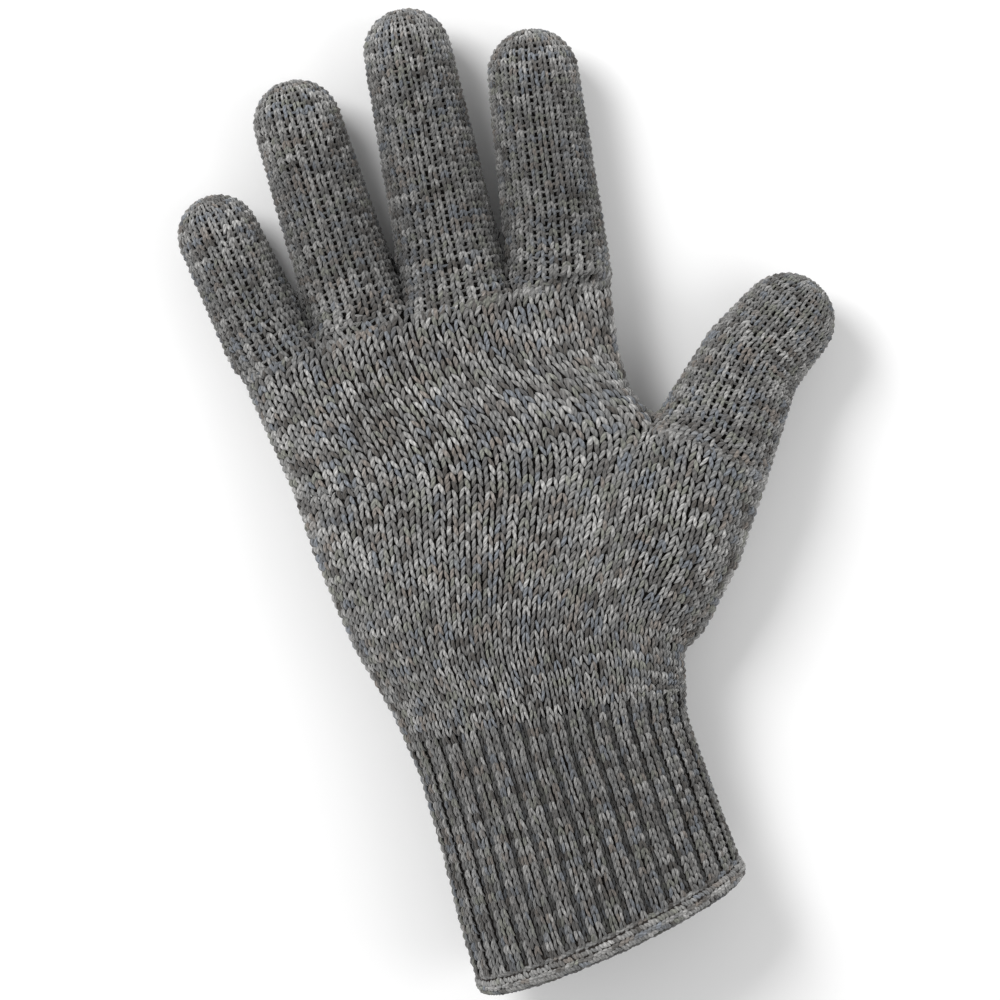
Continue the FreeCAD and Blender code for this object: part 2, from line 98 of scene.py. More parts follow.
walls = []
for name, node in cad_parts.items():
    if name != "cuff_elastic_threads":
        wall = node.copy()
        wall.data = node.data.copy()
        wall.parent = None
        wall.matrix_world = node.matrix_world
        bpy.context.collection.objects.link(wall)
        walls.append(wall)
chosen(*walls)
bpy.ops.object.join()
form = bpy.context.object
form.name = "glove_form"
bpy.ops.object.mode_set(mode="EDIT")
bpy.ops.mesh.select_all(action="SELECT")
bpy.ops.mesh.remove_doubles(threshold=0.00002)
bpy.ops.mesh.normals_make_consistent(inside=False)
bpy.ops.object.mode_set(mode="OBJECT")
form.data.materials.clear()
swell = form.modifiers.new("swell", "DISPLACE")
swell.strength = SWELL
swell.mid_level = 0
closing = form.modifiers.new("closing", "REMESH")
closing.mode = "VOXEL"
closing.voxel_size = VOXEL
rounding = form.modifiers.new("rounding", "SMOOTH")
rounding.factor = 0.5
rounding.iterations = ROUNDS_BEFORE
applied(form)

# below the fingers the hand's flat top and underside take the fingers' roundness little by little: each finger has
# its root's x, y and z, its lean, and its radius there; the roundness is whole at the gaps and gone further down
ROOTS = [
    (28.4, 61.5, 13.5, 4.6, 13.4),
    (0.3, 63, 13.8, 0.4, 13.7),
    (-27.2, 61, 12.9, -5.6, 12.8),
    (-52.4, 57.7, 11.5, -13.2, 11.4),
]
ROUND_RUN, LEAST_HEIGHT, INNER_WALL_LOWER, ALMOST_FLAT = 19, 2.5, 1.7, 0.6
LEVEL_AT, LEVELS = [-52, -27, 0, 28], [11.5, 12.9, 13.8, 13.5]  # height of the fingers' centres across the hand
GAP_AT, GAPS = [-60, -40, -14, 14.5, 40], [55, 58, 63, 62.5, 61]  # how far up the gaps between the fingers begin
co = np.zeros(len(form.data.vertices) * 3)
form.data.vertices.foreach_get("co", co)
co = co.reshape(-1, 3) / MM
facing = np.zeros(len(co) * 3)
form.data.vertices.foreach_get("normal", facing)
near = co[:, 1] > 30
x, y, z = co[near].T
tall, level, gap_line = np.full(len(x), LEAST_HEIGHT), np.interp(x, LEVEL_AT, LEVELS), np.interp(x, GAP_AT, GAPS)
for root_x, root_y, root_z, lean, radius in ROOTS:
    lean = math.radians(lean)
    off = (x - root_x) * math.cos(lean) - (y - root_y) * math.sin(lean)
    tall = np.maximum(tall, np.sqrt(np.maximum(radius**2 - off**2, 0)))
share = smooth((y - gap_line + ROUND_RUN) / ROUND_RUN) * np.clip((gap_line + 3 - y) / 3, 0, 1)
share *= np.clip((x + 65) / 3, 0, 1) * np.clip((45 - x) / 3, 0, 1)
side = np.where(z > level, 1, -1)
outer = facing.reshape(-1, 3)[near, 2] * side > -0.2
tall = np.maximum(tall - np.where(outer, 0, INNER_WALL_LOWER), ALMOST_FLAT)  # the wall keeps its thickness
rounded = np.where(z > level, np.minimum(z, level + tall), np.maximum(z, level - tall))
co[near, 2] = z * (1 - share) + rounded * share
form.data.vertices.foreach_set("co", (co * MM).ravel())
form.data.update()
rounding = form.modifiers.new("rounding", "SMOOTH")
rounding.factor = 0.5
rounding.iterations = ROUNDS_AFTER
applied(form)
form_mesh = bmesh.new()
form_mesh.from_mesh(form.data)
surface = BVHTree.FromBMesh(form_mesh)
form_mesh.free()


def hit(origin, direction, reach=0.2):
    """Where a ray from inside the form leaves it for the open air."""
    start, direction = Vector(origin), Vector(direction).normalized()
    for _ in range(6):
        place, normal, _, _ = surface.ray_cast(start, direction, reach)
        if place is None:
            return None
        if normal.dot(direction) > 0:
            return np.array(place)
        start = place + direction * 0.02 * MM
    return None


# ------------------------------------------------------------------- the courses: rings of stitches round the form
def section(line, up, reach=0.034, tilt=None):
    """The closed section round an inner line: dense points from the first end's side over the top and back below,
    the flags of those that lie inside the fabric, and the index of the far side."""
    line = [np.array(p, float) for p in line]
    up = np.array(up, float)
    out = (line[0] - line[1]) / np.linalg.norm(line[0] - line[1])
    far = (line[-1] - line[-2]) / np.linalg.norm(line[-1] - line[-2])
    turns = np.radians(np.arange(0, 90, 3))
    rays = [(line[0], out * math.cos(a) + up * math.sin(a)) for a in turns]
    along = []
    for a, b in zip(line, line[1:]):
        steps = max(1, int(np.linalg.norm(b - a) / (1.2 * MM)))
        along += [a + (b - a) * i / steps for i in range(steps)]
    along.append(line[-1])
    rays += [(p, up) for p in along]
    rays += [(line[-1], far * math.sin(a) + up * math.cos(a)) for a in turns[1:]]
    half = len(rays)
    rays += [(line[-1], far * math.cos(a) - up * math.sin(a)) for a in turns]
    rays += [(p, -up) for p in reversed(along)]
    rays += [(line[0], out * math.sin(a) - up * math.cos(a)) for a in turns[1:]]
    points, inside, missed = [], [], []
    for origin, direction in rays:
        if tilt is not None:
            axis, angle = tilt
            direction = direction * math.cos(angle) + axis * math.sin(angle)
        place = hit(origin, direction)
        inner = place is None or np.linalg.norm(place - origin) > reach
        points.append(origin + direction * reach if inner else place)
        inside.append(inner)
        missed.append(place is None or (inner and tilt is None))
    points, inside, missed = np.array(points), np.array(inside, float), np.array(missed)
    kept = np.flatnonzero(~missed)
    for c in range(3):  # a missed ray is bridged from its neighbours
        points[:, c] = np.interp(np.arange(len(points)), kept, points[kept, c])
    inside[missed] = 0
    return points, inside, half


def lengths(points):
    closed = np.vstack([points, points[:1]])
    return np.concatenate([[0], np.cumsum(np.linalg.norm(np.diff(closed, axis=0), axis=1))])


def placed(points, inside, where):
    """The places at these distances along a closed section, and which of them are inside the fabric."""
    run = lengths(points)
    where = np.mod(where, run[-1])
    closed = np.vstack([points, points[:1]])
    flags = np.append(inside, inside[0])
    xyz = np.stack([np.interp(where, run, closed[:, c]) for c in range(3)], axis=1)
    return xyz, np.interp(where, run, flags) > 0.3


def halves(points, half, count, shift=0):
    """Evenly spaced wales, some shifted by a share of the spacing: half of them over the top, half below."""
    run = lengths(points)
    top, whole = run[half], run[-1]
    step = (np.arange(count) + 0.5 + shift) / (count // 2)
    return np.where(step < 1, step * top, top + (step - 1) * (whole - top))


def frames(P):
    """The directions along the wales, round the course and outwards at every stitch of a grid, and both spacings."""
    t = np.gradient(P, axis=0)
    s = (np.roll(P, -1, axis=1) - np.roll(P, 1, axis=1)) / 2
    n = np.cross(s, t)
    n /= np.linalg.norm(n, axis=2, keepdims=True) + 1e-12
    middle = P.mean(axis=1, keepdims=True)
    if ((P - middle) * n).sum() < 0:
        n = -n
    high = np.linalg.norm(t, axis=2)
    wide = np.linalg.norm(s, axis=2)
    t = t / (high[..., None] + 1e-12)
    s = np.cross(t, n)
    return t, s, n, wide, high


# --------------------------------------------------------------------------- one leg of a stitch, and wool to make it
LEG_SIDES, LEG_RINGS = 6, 6
bpy.ops.mesh.primitive_uv_sphere_add(segments=LEG_SIDES, ring_count=LEG_RINGS, radius=1)
leg = bpy.context.object
chosen(leg)
bpy.ops.object.modifier_add(type="TRIANGULATE")
bpy.ops.object.convert(target="MESH")
leg_points = np.array([v.co for v in leg.data.vertices])
leg_faces = np.array([p.vertices for p in leg.data.polygons])
leg_t = leg_points[:, 2]
ring_size = np.linalg.norm(leg_points[:, :2], axis=1)
leg_round = np.where(ring_size > 1e-4, (1 - 0.55 * leg_t**2) / np.maximum(ring_size, 1e-4), 0)
leg_turn = np.mod(np.arctan2(leg_points[:, 1], leg_points[:, 0]) / (2 * math.pi), 1)
bpy.data.objects.remove(leg)

SHADES = [
    ((182, 181, 179), 5),
    ((160, 159, 157), 8),
    ((138, 138, 137), 8),
    ((129, 134, 141), 4),
    ((138, 139, 130), 4),
    ((141, 133, 126), 3),
    ((112, 110, 108), 6),
    ((88, 84, 80), 3),
]


def linear(rgb):
    c = np.array(rgb, float) / 255
    return np.where(c <= 0.04045, c / 12.92, ((c + 0.055) / 1.055) ** 2.4)


shades = np.array([linear(c) for c, share in SHADES for _ in range(share)])


def marled(count, rng, run=1.6):
    """Colours of a yarn of mixed wool along count legs: each shade lasts for a leg or two and runs into the next."""
    knots = max(2, int(count / run))
    picks = shades[rng.integers(0, len(shades), knots)]
    where = np.linspace(0, knots - 1, count) + rng.uniform(-0.35, 0.35, count)
    low = np.clip(where.astype(int), 0, knots - 2)
    share = smooth(where - low)[:, None]
    return (picks[low] * (1 - share) + picks[low + 1] * share) * rng.uniform(0.82, 1.18, (count, 1))


def shader_node(tree, kind, **values):
    node = tree.nodes.new(kind)
    for key, value in values.items():
        if key in node.inputs:
            node.inputs[key].default_value = value
        else:
            setattr(node, key, value)
    return node


def sum_of(tree, operation, a, b):
    node = shader_node(tree, "ShaderNodeMath", operation=operation)
    for socket, value in zip(node.inputs, (a, b)):
        if isinstance(value, (int, float)):
            socket.default_value = value
        else:
            tree.links.new(value, socket)
    return node.outputs[0]


wool = bpy.data.materials.new("ragg_wool")
wool.use_nodes = True
tree = wool.node_tree
bsdf = tree.nodes["Principled BSDF"]
shade = shader_node(tree, "ShaderNodeAttribute", attribute_name="yarn")
place = shader_node(tree, "ShaderNodeTexCoord")
ply = shader_node(tree, "ShaderNodeUVMap", uv_map="ply")
split = shader_node(tree, "ShaderNodeSeparateXYZ")
tree.links.new(ply.outputs["UV"], split.inputs[0])
turned = sum_of(tree, "MULTIPLY", split.outputs["X"], 3.0)
slanted = sum_of(tree, "ADD", turned, sum_of(tree, "MULTIPLY", split.outputs["Y"], 2.2))
strand = sum_of(tree, "PINGPONG", slanted, 0.5)
fleck = shader_node(tree, "ShaderNodeTexNoise", Scale=1100.0, Detail=3.0, Roughness=0.7)
tree.links.new(place.outputs["Object"], fleck.inputs["Vector"])
hair = shader_node(tree, "ShaderNodeTexNoise", Scale=4200.0, Detail=2.0, Roughness=0.6)
tree.links.new(place.outputs["Object"], hair.inputs["Vector"])
# the yarn's colour is scaled by random flecks, which are its own, and darkened by painted shade in the grooves between
# the plies and the fibres, where the bump sinks
fleck_and_groove_shade = sum_of(tree, "ADD", 0.36, sum_of(tree, "MULTIPLY", fleck.outputs["Fac"], 0.8))
fleck_and_groove_shade = sum_of(tree, "MULTIPLY", fleck_and_groove_shade, sum_of(tree, "ADD", 0.62, sum_of(tree, "MULTIPLY", strand, 1.25)))
fleck_and_groove_shade = sum_of(tree, "MULTIPLY", fleck_and_groove_shade, sum_of(tree, "ADD", 0.7, sum_of(tree, "MULTIPLY", hair.outputs["Fac"], 0.6)))
tinted = shader_node(tree, "ShaderNodeVectorMath", operation="SCALE")
tree.links.new(shade.outputs["Color"], tinted.inputs[0])
tree.links.new(fleck_and_groove_shade, tinted.inputs["Scale"])
tree.links.new(tinted.outputs[0], bsdf.inputs["Base Color"])
height = sum_of(tree, "ADD", sum_of(tree, "MULTIPLY", strand, 1.4), sum_of(tree, "MULTIPLY", hair.outputs["Fac"], 0.7))
bump = shader_node(tree, "ShaderNodeBump", Strength=0.9, Distance=0.0002)
tree.links.new(height, bump.inputs["Height"])
tree.links.new(bump.outputs[0], bsdf.inputs["Normal"])
bsdf.inputs["Roughness"].default_value = 0.92
bsdf.inputs["Specular IOR Level"].default_value = 0.2
bsdf.inputs["Sheen Weight"].default_value = 0.25
bsdf.inputs["Sheen Roughness"].default_value = 0.6

# the dark sheet under the stitches: painted shade for the depth of the fabric seen through the gaps between them
shade_lining = bpy.data.materials.new("wool_inside_painted_shade")
shade_lining.use_nodes = True
tree = shade_lining.node_tree
bsdf = tree.nodes["Principled BSDF"]
place = shader_node(tree, "ShaderNodeTexCoord")
matted = shader_node(tree, "ShaderNodeTexNoise", Scale=1400.0, Detail=4.0, Roughness=0.7)
tree.links.new(place.outputs["Object"], matted.inputs["Vector"])
dusk = shader_node(tree, "ShaderNodeValToRGB")
dusk.color_ramp.elements[0].color = (0.006, 0.005, 0.0045, 1)
dusk.color_ramp.elements[1].color = (0.05, 0.044, 0.04, 1)
tree.links.new(matted.outputs["Fac"], dusk.inputs["Fac"])
tree.links.new(dusk.outputs["Color"], bsdf.inputs["Base Color"])
bump = shader_node(tree, "ShaderNodeBump", Strength=1.0, Distance=0.0004)
tree.links.new(matted.outputs["Fac"], bump.inputs["Height"])
tree.links.new(bump.outputs[0], bsdf.inputs["Normal"])
bsdf.inputs["Roughness"].default_value = 1.0
bsdf.inputs["Specular IOR Level"].default_value = 0.1


# ------------------------------------------------------------- yarn laid on a grid of stitches, and the piece it makes
RUNG_PAINTED_SHADE, SUNKEN_PAINTED_SHADE = 0.62, 0.42  # painted shade: yarn that lies deeper, in the rungs and the sunken wales, is painted darker
LONGEST_LEG, TIGHT, TIGHTEST = 3.2 * MM, 1.3 * MM, 0.65 * MM  # where wales crowd, every second or fourth is kept


def stitch_legs(grid, rng, legs, kind="plain"):
    """Adds the yarn of a grid's stitches to legs: places, directions, sizes and colours, one row for each leg."""
    P, inside = grid["P"], grid["inside"]
    t, s, n, wide, high = grid["frames"]
    rows, wales = inside.shape
    for k in grid["rows"]:
        # each row's tone carries painted light and shade: the palest middle of the back, the darker middles and paler
        # tips of the fingers
        colours = marled(wales * 2, rng) * grid["tone_and_painted_light"][k]
        for i in range(wales):
            if inside[k, i]:
                continue
            sunk = kind == "rib" and i % 3 == 2
            w, c = wide[k, i], min(high[k, i], LONGEST_LEG)
            skip = 1 if w > TIGHT else 2 if w > TIGHTEST else 4
            if i % skip:
                continue
            w *= skip
            # the rungs and the sunken wales take painted shade
            if kind == "open" and skip == 1 and not inside[k, (i + 1) % wales]:
                place, colour = P[k, i] + s[k, i] * w / 2, colours[2 * i] * RUNG_PAINTED_SHADE
                legs.append((k, i, 0, w, c, False, place, s[k, i], t[k, i], n[k, i], colour))
            for side in (-1, 1):
                colour = colours[2 * i + (side > 0)] * (SUNKEN_PAINTED_SHADE if sunk else 1)
                legs.append((k, i, side, w, c, sunk, P[k, i], t[k, i], s[k, i], n[k, i], colour))


# painted shade: the yarn is painted darker in the folds that run down from the gaps between the fingers
CREASES = [((-40, 57.8), 9.4), ((-14, 63), 2.6), ((14.5, 62.5), -2.5)]  # each gap's place and its crease's lean
CREASE_RUN, CREASE_WIDE, CREASE_DARK = 19, 2.6, 0.62


def painted_crease_shade(P):
    """How much the yarn is darkened by painted shade in the folds that run down from the gaps between the fingers."""
    dark = np.zeros(len(P))
    for gap, lean in CREASES:
        down = np.array([math.sin(math.radians(lean)), -math.cos(math.radians(lean))])
        off = P[:, :2] / MM - gap
        along, across = off @ down, off @ np.array([down[1], -down[0]])
        run = np.clip(1 - along / CREASE_RUN, 0, 1) ** 0.7 * np.clip((along + 16) / 14, 0, 1)
        dark = np.maximum(dark, run * np.exp(-((across / (CREASE_WIDE + 0.05 * np.maximum(-along, 0))) ** 2)))
    return 1 - CREASE_DARK * dark


def leg_mesh(legs, rng, look):
    """Vertices, triangles, ply coordinates and colours of all legs of a piece."""
    count = len(legs)
    side = np.array([g[2] for g in legs], float)[:, None]
    w = np.array([g[3] for g in legs])[:, None]
    c = np.array([g[4] for g in legs])[:, None]
    sunk = np.array([g[5] for g in legs], float)[:, None]
    P, t, s, n = (np.array([g[j] for g in legs]) for j in (6, 7, 8, 9))
    colour = np.array([g[10] for g in legs])
    T = leg_t[None, :]
    around = leg_turn[None, :] * 2 * math.pi
    round_ = leg_round[None, :] * ring_size[None, :]
    rung = side == 0
    r = np.clip(look["yarn"] * w, 0.42 * MM, 0.82 * MM) * rng.uniform(0.86, 1.14, (count, 1))
    r = np.where(rung, look["rung"] * MM, r)
    spread = look["foot"] + (look["head"] - look["foot"]) * (T + 1) / 2
    x = side * w * spread + r * round_ * np.cos(around) + rng.normal(0, 0.09 * MM, (count, 1))
    x = x + T * rng.normal(0, 0.13 * MM, (count, 1))
    y = np.where(rung, 0.42 * w, look["reach"] * c) * T + rng.normal(0, 0.12 * MM, (count, 1))
    z = look["arch"] * MM * (1 - T**2) + 0.85 * r * round_ * np.sin(around) - look["sink"] * MM * sunk
    z = z - np.where(rung, look["rung_sink"], 0.85) * MM + rng.normal(0, 0.07 * MM, (count, 1))
    # painted shade in the creases below the gaps between the fingers
    colour = colour * painted_crease_shade(P)[:, None]
    V = P[:, None] + x[..., None] * s[:, None] + y[..., None] * t[:, None] + z[..., None] * n[:, None]
    F = leg_faces[None] + (np.arange(count) * len(leg_points))[:, None, None]
    flat = np.broadcast_to(leg_turn[None, :], (count, len(leg_points)))
    down = np.broadcast_to(T / 2 + 0.5, flat.shape) + rng.uniform(0, 1, (count, 1))
    return V.reshape(-1, 3), F.reshape(-1, 3), flat.ravel(), down.ravel(), np.repeat(colour, len(leg_points), axis=0)


def ground_mesh(P, n, rows, sink, wall):
    """A closed band of dark sheet under a grid's stitches, painted shade for the depth of the fabric seen between
    them:
    its outer skin, its inner skin and the two rims.
    """
    outer = (P - n * sink)[rows[0] : rows[-1] + 1]
    inner = (P - n * (sink + wall))[rows[0] : rows[-1] + 1]
    count, wales = outer.shape[:2]
    V = np.vstack([outer.reshape(-1, 3), inner.reshape(-1, 3)])
    k, i = np.meshgrid(np.arange(count - 1), np.arange(wales), indexing="ij")
    a, b = k * wales + i, k * wales + (i + 1) % wales
    skin = np.stack([a, b, b + wales, a + wales], axis=-1).reshape(-1, 4)
    deep = skin[:, ::-1] + count * wales
    i = np.arange(wales)
    low = np.stack([i + count * wales, (i + 1) % wales + count * wales, (i + 1) % wales, i], axis=-1)
    last = (count - 1) * wales
    beside = (i + 1) % wales + last
    high = np.stack([i + last, beside, beside + count * wales, i + last + count * wales], axis=-1)
    quads = np.vstack([skin, deep, low, high])
    a, b, c = (V[skin[:, j]] for j in (0, 1, 2))
    facing = (np.cross(b - a, c - a) * n[rows[0] : rows[-1]].reshape(-1, 3)).sum()
    if facing < 0:
        quads = quads[:, ::-1]
    F = np.vstack([quads[:, [0, 1, 2]], quads[:, [0, 2, 3]]])
    return V, F


def piece(name, parts, grounds):
    """One object of all the yarn given and of the dark sheets of painted shade under it: its ply map, its own bake map
    and its yarn colours, in which painted light and shade are laid.
    """
    V, F, U, W, C, kinds = [], [], [], [], [], []
    start = 0
    for v, f, u, w, c in parts:
        V.append(v), F.append(f + start), U.append(u), W.append(w), C.append(c)
        kinds.append(np.zeros(len(f), int))
        start += len(v)
    leg_count = sum(len(v) for v in V) // len(leg_points)
    for v, f in grounds:
        V.append(v), F.append(f + start)
        # the dark sheet's colour: painted shade
        U.append(np.zeros(len(v))), W.append(np.zeros(len(v))), C.append(np.full((len(v), 3), 0.02))
        kinds.append(np.ones(len(f), int))
        start += len(v)
    V, F, C = np.vstack(V), np.vstack(F), np.vstack(C)
    U, W, kinds = np.concatenate(U), np.concatenate(W), np.concatenate(kinds)
    mesh = bpy.data.meshes.new(name)
    mesh.vertices.add(len(V))
    mesh.vertices.foreach_set("co", V.astype(np.float32).ravel())
    mesh.loops.add(len(F) * 3)
    mesh.loops.foreach_set("vertex_index", F.astype(np.int32).ravel())
    mesh.polygons.add(len(F))
    mesh.polygons.foreach_set("loop_start", np.arange(0, len(F) * 3, 3, dtype=np.int32))
    mesh.update(calc_edges=True)
    mesh.polygons.foreach_set("material_index", kinds.astype(np.int32))
    mesh.polygons.foreach_set("use_smooth", np.ones(len(F), bool))
    mesh.materials.append(wool)
    mesh.materials.append(shade_lining)
    corner = F.ravel()
    turn = U[corner].reshape(-1, 3)
    turn = np.where((turn.max(1) - turn.min(1) > 0.5)[:, None] & (turn < 0.5), turn + 1, turn)
    layer = mesh.uv_layers.new(name="ply")
    layer.data.foreach_set("uv", np.stack([turn.ravel(), W[corner]], axis=1).astype(np.float32).ravel())
    # the yarn's marled colours, with the painted light and shade laid into them
    colour = mesh.color_attributes.new("yarn", "FLOAT_COLOR", "POINT")
    colour.data.foreach_set("color", np.hstack([C, np.ones((len(C), 1))]).astype(np.float32).ravel())
    cells = int(math.ceil(math.sqrt(max(leg_count, 1))))
    bake = np.zeros((len(F) * 3, 2))
    leg_corners = (kinds == 0).repeat(3)
    index = corner // len(leg_points)
    column, row = index % cells, index // cells
    across = turn.ravel() / 2 * 0.92 + 0.04
    along = 0
    if leg_count:
        along = np.tile(leg_t, leg_count)[np.minimum(corner, leg_count * len(leg_points) - 1)] / 2 + 0.5
    bake[:, 0] = (column + across) / cells
    bake[:, 1] = (row + along * 0.9 + 0.05) / cells * 0.9
    # the corners of the dark sheet of painted shade
    shade_sheet_corners = ~leg_corners
    if shade_sheet_corners.any():
        span = V[corner[shade_sheet_corners]]
        low, high = span.min(0), span.max(0)
        bake[shade_sheet_corners, 0] = (span[:, 0] - low[0]) / max(high[0] - low[0], 1e-9)
        bake[shade_sheet_corners, 1] = 0.91 + 0.08 * (span[:, 1] - low[1]) / max(high[1] - low[1], 1e-9)
    layer = mesh.uv_layers.new(name="OFBake")
    layer.data.foreach_set("uv", bake.astype(np.float32).ravel())
    mesh.validate()
    made = bpy.data.objects.new(name, mesh)
    bpy.context.collection.objects.link(made)
    print(name, "triangles", len(F))
    return made


# shares of a wale (yarn, foot, head, rung's width) and of a course (reach), and heights and depths in mm
PLAIN = {
    "yarn": 0.19, "foot": 0.37, "head": 0.10, "reach": 0.76,
    "arch": 0.95, "sink": 0.0, "rung": 0.36, "rung_sink": 1.0,
}
RIBBED = {
    "yarn": 0.235, "foot": 0.36, "head": 0.12, "reach": 0.78,
    "arch": 0.95, "sink": 1.05, "rung": 0.55, "rung_sink": 1.05,
}
OPENED = {
    "yarn": 0.185, "foot": 0.30, "head": 0.09, "reach": 0.80,
    "arch": 0.85, "sink": 0.0, "rung": 0.37, "rung_sink": 0.75,
}
SINK, WALL = 1.35 * MM, 0.6 * MM


def grid_of(P, inside):
    P, inside = np.array(P), np.array(inside)
    return {"P": P, "inside": inside, "frames": frames(P), "rows": range(len(P)), "tone_and_painted_light": np.ones(len(P))}


def cloth(name, pieces_of, seed):
    """A piece from one or more grids: each with its rows, its look and its kind of knitting."""
    rng = np.random.default_rng(seed)
    parts, grounds = [], []
    for grid, rows, look, kind in pieces_of:
        legs = []
        stitch_legs({**grid, "rows": rows}, rng, legs, kind)
        if legs:
            parts.append(leg_mesh(legs, rng, look))
        last = min(rows[-1] + 1, len(grid["P"]) - 1)
        grounds.append(ground_mesh(grid["P"], grid["frames"][2], range(rows[0], last + 1), SINK + 0.2 * MM, WALL))
    return piece(name, parts, grounds)


def rows_between(grid, low, high, direction=(0, 1, 0), origin=(0, 0, 0)):
    """The rows of a grid whose middle lies between two distances along a direction."""
    far = (grid["P"].mean(axis=1) - np.array(origin)) @ np.array(direction)
    return [k for k in range(len(far)) if low <= far[k] < high]


# =============================================================================================== the ribbed cuff
# Two wales of knitting to one sunken wale, 32 ribs round, from the hem to the wrist; the courses slant at the hem.
CUFF_COURSES, CUFF_WALES = 27, 96
RIB_SHIFT = np.tile([-0.08, 0.08, 0.0], CUFF_WALES // 3)  # the plain wales of a rib crowd over the sunken one
WRIST_Y = -59 * MM
hem_origin = np.array(hem_frame.translation)
hem_across, hem_up = np.array(hem_frame.col[0][:3]), np.array(hem_frame.col[2][:3])
P, inside = [], []
for k in range(CUFF_COURSES):
    share = (k + 0.3) / (CUFF_COURSES - 0.7)
    up = hem_up * (1 - share) + np.array([0, 0, 1]) * share
    across = hem_across * (1 - share) + np.array([1, 0, 0]) * share
    up, across = up / np.linalg.norm(up), across / np.linalg.norm(across)
    middle = hem_origin * (1 - share) + np.array([0.5 * MM, WRIST_Y, 19 * MM]) * share
    reach = (20 - 2 * share) * MM
    points, flags, half = section([middle - across * reach, middle + across * reach], up)
    xyz, hidden = placed(points, flags, halves(points, half, CUFF_WALES, RIB_SHIFT))
    P.append(xyz), inside.append(hidden)
cuff_grid = grid_of(P, inside)
cuff_grid["tone_and_painted_light"][:] = 0.79

# ======================================================================================= the palm, wrist to crotch
# The hand's wales start where the ribs end and fan out: those on the thumb's side lean towards the thumb.
WALES, PALM_COURSES = 84, 31
CROTCH = np.array([43, 10.5, 17.5]) * MM
LOW_LINE = np.array([[-19, -59, 19], [17, -59, 19], [19.5, -59, 19]]) * MM
HIGH_LINE = np.array([[-36, 10.5, 17.5], CROTCH / MM, [56.5, 0.4, 16.9]]) * MM
P, inside = [], []
for k in range(1, PALM_COURSES + 1):
    share = k / PALM_COURSES
    line = LOW_LINE * (1 - share) + HIGH_LINE * share
    points, flags, half = section(line, (0, 0, 1))
    xyz, hidden = placed(points, flags, halves(points, half, WALES))
    P.append(xyz), inside.append(hidden)
palm_grid = grid_of(P, inside)
top_ring = P[-1]

# ================================================================= the hand above the crotch, up to the fingers
# The palm's wales go on, the thumb's leave, and a few are picked up on the web; they even out as they climb.
BACK_COURSES = 18
PICKED_UP = 8
BACK_LOW = np.array([[-36, 10.5, 17.5], [-8, 10.5, 17.5], [27, 9.5, 17.5]]) * MM
BACK_HIGH = np.array([[-50, 46.5, 12.5], [-14, 52, 13.5], [28, 52.5, 13.5]]) * MM
leaving = [i for i in range(WALES) if top_ring[i, 0] > CROTCH[0]]
over, under = leaving[0], WALES - 1 - leaving[-1]
BACK_WALES = over + PICKED_UP + under
points, flags, half = section(HIGH_LINE, (0, 0, 1))
run = lengths(points)
over_step, under_step = run[half] / (WALES // 2), (run[-1] - run[half]) / (WALES // 2)
P, inside = [], []
for k in range(1, BACK_COURSES + 1):
    share = k / BACK_COURSES
    points, flags, half = section(BACK_LOW * (1 - share) + BACK_HIGH * share, (0, 0, 1))
    across_web = points[:, 0] > 47 * MM
    points[across_web, 0] = 45.5 * MM
    flags = np.maximum(flags, across_web)
    whole = lengths(points)[-1]
    near = (np.arange(over) + 0.5) * over_step
    back = whole - (np.arange(under)[::-1] + 0.5) * under_step
    extra = near[-1] + (back[0] - near[-1]) * (np.arange(PICKED_UP) + 1) / (PICKED_UP + 1)
    first = np.concatenate([near, extra, back])
    even = (np.arange(BACK_WALES) + 0.5) / BACK_WALES * whole
    ease = smooth(k / 12)
    xyz, hidden = placed(points, flags, first * (1 - ease) + even * ease)
    P.append(xyz), inside.append(hidden)
for low, high in ((0, over), (-under, None)):  # the palm's wales bend into the hand's without a kink
    both = np.concatenate([palm_grid["P"][:, low:high], np.array(P)[:, low:high]])
    rows = np.arange(len(both))
    soft = np.clip(1 - np.abs(rows - PALM_COURSES) / 15, 0, 1)[1:-1, None, None]
    beside = np.arange(both.shape[1])
    soft = soft * np.clip((beside[::-1] if low == 0 else beside) / 6, 0, 1)[None, :, None]
    for _ in range(30):
        both[1:-1] += soft * ((both[:-2] + both[2:]) / 2 - both[1:-1]) * 0.5
    for row in both[PALM_COURSES - 14 : PALM_COURSES + 14]:
        for point in row:
            upward = 1 if low == 0 else -1
            place = hit((point[0], point[1], 15 * MM), (0, 0, upward))
            if place is not None and abs(place[2] - point[2]) < 1.5 * MM:
                point[2] = place[2]
    palm_grid["P"][:, low:high] = both[:PALM_COURSES]
    for k in range(BACK_COURSES):
        P[k][low:high] = both[PALM_COURSES + k]
palm_grid = grid_of(palm_grid["P"], palm_grid["inside"])
back_grid = grid_of(P, inside)
# painted light: the middle of the back, where it turns most to the light, is painted palest
palm_grid["tone_and_painted_light"] = np.interp(range(PALM_COURSES), [10, 20], [1, 1.13])
back_grid["tone_and_painted_light"] = np.interp(range(BACK_COURSES), [8, 17], [1.13, 1])

